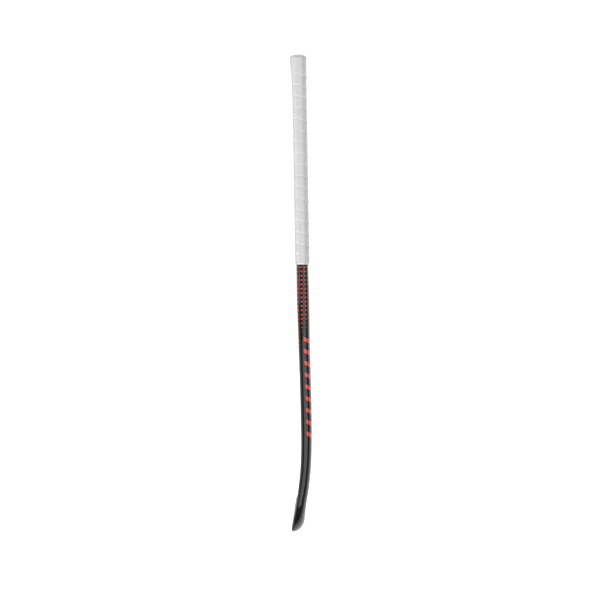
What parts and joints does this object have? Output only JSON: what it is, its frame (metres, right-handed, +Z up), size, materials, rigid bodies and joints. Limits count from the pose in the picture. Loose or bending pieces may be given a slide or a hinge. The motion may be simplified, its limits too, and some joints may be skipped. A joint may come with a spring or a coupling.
{
  "type": "field hockey stick",
  "caption": "Full-size composite field hockey stick with a flat face, rounded back, upturned hook, gently bowed shaft and tape-wound grip.",
  "frame": {"origin": "on the handle's axis at the middle of the grip, where a hand or a clamp holds the stick", "axes": "+Z up the stick to the butt, -X out of the flat playing face, +Y from the shaft to the toe of the hook"},
  "size_m": [0.0441, 0.1194, 0.9251],
  "materials": {
    "carbon_shell": "gloss clear coat over black, with printed coral red dots and bars",
    "carbon_tube": "bare woven laminate",
    "head_foam": "syntactic foam",
    "aramid_patch": "resin-bonded weave",
    "soft_foam": "closed-cell foam",
    "plug_plastic": "moulded",
    "collar_rubber": "matt",
    "grip_tape": "light grey satin polyurethane, wound in a spiral",
    "finishing_tape": "satin white",
    "cap_rubber": "light grey satin"
  },
  "bodies": {
    "root": {"outer_shell": "carbon_shell", "toe_side_tube": "carbon_tube", "heel_side_tube": "carbon_tube", "head_core": "head_foam", "face_patch": "aramid_patch", "handle_foam": "soft_foam", "butt_plug": "plug_plastic", "cushion_wrap": "soft_foam", "flare_collar": "collar_rubber", "grip_tape": "grip_tape", "finishing_tape": "finishing_tape", "butt_cap": "cap_rubber"}
  },
  "joints": []
}
